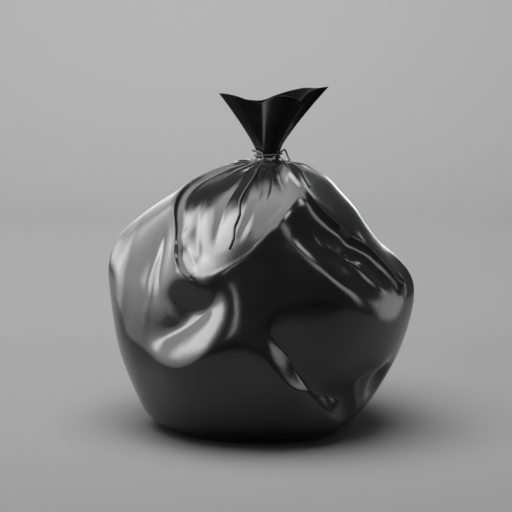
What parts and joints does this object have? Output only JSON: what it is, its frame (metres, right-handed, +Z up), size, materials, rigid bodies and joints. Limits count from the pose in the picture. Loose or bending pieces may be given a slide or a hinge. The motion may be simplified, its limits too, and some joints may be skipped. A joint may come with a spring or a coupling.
{
  "type": "full bin bag",
  "caption": "Full black plastic bin bag standing on its base, gathered and tied at the neck with string, its mouth flared open above the tie.",
  "frame": {"origin": "middle of the bag's box, on the surface it stands on", "axes": "+Z up through the tied neck, +X to the right and -Y to the front as the bag is seen"},
  "size_m": [0.4798, 0.4744, 0.538],
  "materials": {
    "film": "glossy black polyethylene film, creased and gathered",
    "string": "thin twisted cord, near black, slightly waxed"
  },
  "bodies": {
    "root": {"bin_bag": "film", "tie_string": "string"}
  },
  "joints": []
}
